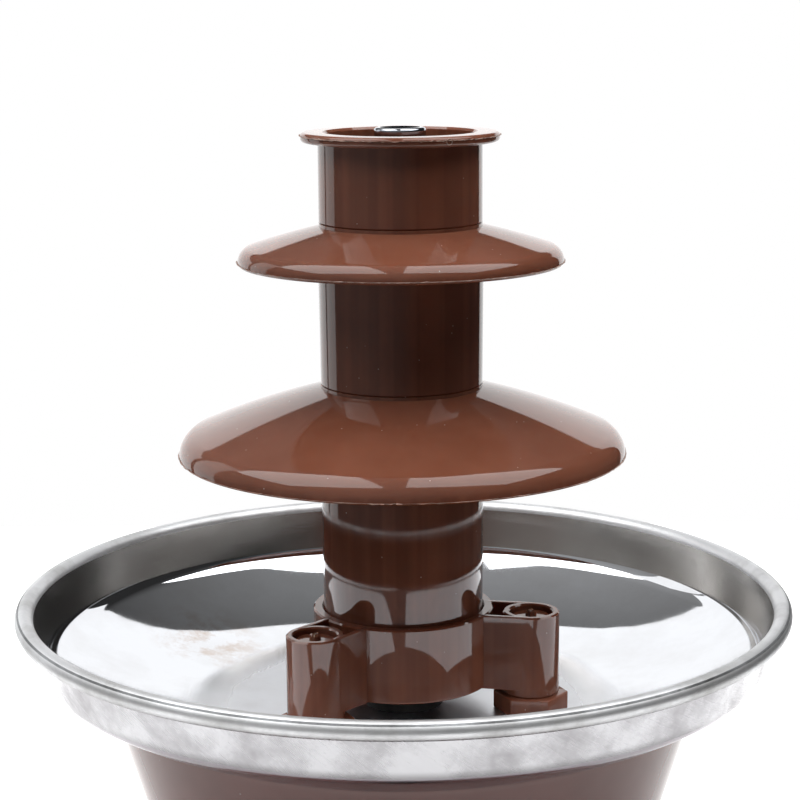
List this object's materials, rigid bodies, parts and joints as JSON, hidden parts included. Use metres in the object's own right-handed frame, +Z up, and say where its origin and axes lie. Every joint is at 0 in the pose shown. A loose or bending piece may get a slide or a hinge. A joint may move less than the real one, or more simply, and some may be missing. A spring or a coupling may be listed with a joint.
{
  "type": "chocolate fountain",
  "caption": "Table-top chocolate fountain: heated steel bowl on a waisted pedestal, stacking tiered tower and a geared auger that lifts the chocolate to the crown.",
  "frame": {"origin": "on the table under the middle of the object", "axes": "+Z up along the tower, -Y to the front with the knob, +X to the right"},
  "size_m": [0.175, 0.175, 0.235],
  "materials": {
    "chocolate_plastic": "glossy moulded food-grade plastic",
    "housing_plastic": "glossy moulded ABS",
    "bowl_steel": "mirror-polished floor, scuffed satin wall",
    "polished_steel": "polished stainless steel",
    "zinc_steel": "zinc-plated steel",
    "heater_aluminium": "pressed aluminium",
    "bush_bronze": "sintered bronze",
    "nylon": "moulded nylon",
    "black_plastic": "moulded satin plastic",
    "black_rubber": "moulded rubber",
    "board_laminate": "solder-masked laminate"
  },
  "bodies": {
    "base": {"base_housing": "housing_plastic", "bowl": "bowl_steel", "tower_post_right": "chocolate_plastic", "tower_post_rear": "chocolate_plastic", "tower_post_left": "chocolate_plastic", "shaft_seal": "black_rubber", "bowl_gasket": "black_rubber", "post_screws": "zinc_steel", "post_washers": "nylon", "heater_plate": "heater_aluminium", "heater_element": "polished_steel", "thermostat": "black_plastic", "thermal_fuse": "polished_steel", "fuse_clip": "zinc_steel", "bottom_cover": "black_plastic", "cover_screws": "zinc_steel", "foot_front_right": "black_rubber", "foot_rear_right": "black_rubber", "foot_rear_left": "black_rubber", "foot_front_left": "black_rubber", "gearbox_top_plate": "zinc_steel", "gearbox_bottom_plate": "zinc_steel", "gearbox_pillars": "zinc_steel", "gearbox_screws": "zinc_steel", "upper_bush": "bush_bronze", "lower_bush": "bush_bronze", "idler_pin": "polished_steel", "motor_can": "zinc_steel", "motor_end_cap": "black_plastic", "motor_screws": "zinc_steel", "rectifier_board": "board_laminate", "rotary_switch": "black_plastic", "switch_nut": "zinc_steel", "cord_gland": "black_rubber"},
    "drive": {"drive_shaft": "polished_steel", "gear_pin": "polished_steel", "shaft_clip": "zinc_steel", "output_gear": "nylon"},
    "idler": {"idler_gear": "nylon"},
    "rotor": {"motor_shaft": "polished_steel", "motor_pinion": "bush_bronze"},
    "auger": {"auger_core": "polished_steel", "auger_flight": "polished_steel"},
    "tower": {"tower_foot": "chocolate_plastic"},
    "lower_dish": {"lower_tier": "chocolate_plastic"},
    "upper_dish": {"upper_tier": "chocolate_plastic"},
    "crown": {"crown_tube": "chocolate_plastic"},
    "knob": {"control_knob": "black_plastic", "switch_spindle": "zinc_steel"}
  },
  "joints": [
    {"name": "drive_spin", "type": "hinge", "parent": "base", "child": "drive", "pos_m": [0, 0, 0.07], "axis": [0, 0, 1], "continuous": true},
    {"name": "idler_spin", "type": "hinge", "parent": "base", "child": "idler", "pos_m": [-0.02078, 0.012, 0.07], "axis": [0, 0, 1], "continuous": true},
    {"name": "rotor_spin", "type": "hinge", "parent": "base", "child": "rotor", "pos_m": [0, 0.024, 0.07], "axis": [0, 0, 1], "continuous": true},
    {"name": "auger_lift", "type": "slide", "parent": "drive", "child": "auger", "axis": [0, 0, 1], "range_m": [0, 0.13]},
    {"name": "tower_lift", "type": "slide", "parent": "base", "child": "tower", "axis": [0, 0, 1], "range_m": [0, 0.13]},
    {"name": "lower_tier_lift", "type": "slide", "parent": "tower", "child": "lower_dish", "axis": [0, 0, 1], "range_m": [0, 0.03]},
    {"name": "upper_tier_lift", "type": "slide", "parent": "lower_dish", "child": "upper_dish", "axis": [0, 0, 1], "range_m": [0, 0.03]},
    {"name": "crown_lift", "type": "slide", "parent": "upper_dish", "child": "crown", "axis": [0, 0, 1], "range_m": [0, 0.03]},
    {"name": "knob_turn", "type": "hinge", "parent": "base", "child": "knob", "pos_m": [0, -0.05534, 0.04906], "axis": [0, -1, 0], "range_deg": [-90, 0]}
  ],
  "couplings": [
    {"joint": "idler_spin", "follows": "drive_spin", "ratio": -4},
    {"joint": "rotor_spin", "follows": "drive_spin", "ratio": 16}
  ]
}
